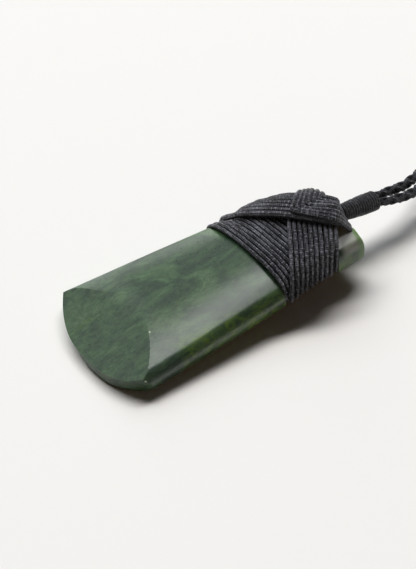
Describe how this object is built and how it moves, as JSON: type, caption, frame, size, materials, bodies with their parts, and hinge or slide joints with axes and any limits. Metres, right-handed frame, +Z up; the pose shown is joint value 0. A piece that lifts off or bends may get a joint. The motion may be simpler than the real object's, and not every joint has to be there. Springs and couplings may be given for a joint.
{
  "type": "greenstone adze pendant",
  "caption": "Polished greenstone adze blade, its poll bound in layers of waxed cord, with a whipped neck and a braided neck cord, lying flat.",
  "frame": {"origin": "on the surface that it lies on, under the middle of the whole object", "axes": "+X from the blade's cutting edge through the poll and along the neck cord, +Y to the side that the crossing turns start from, +Z up from the surface"},
  "size_m": [0.37, 0.1328, 0.0129],
  "materials": {
    "greenstone": "polished",
    "lashing_cord": "waxed",
    "neck_cord": "waxed"
  },
  "bodies": {
    "root": {"adze_stone": "greenstone", "straight_turns": "lashing_cord", "slant_turns": "lashing_cord", "cross_turns": "lashing_cord", "crown_turns": "lashing_cord", "neck_whipping": "lashing_cord", "neck_cord": "neck_cord"}
  },
  "joints": []
}
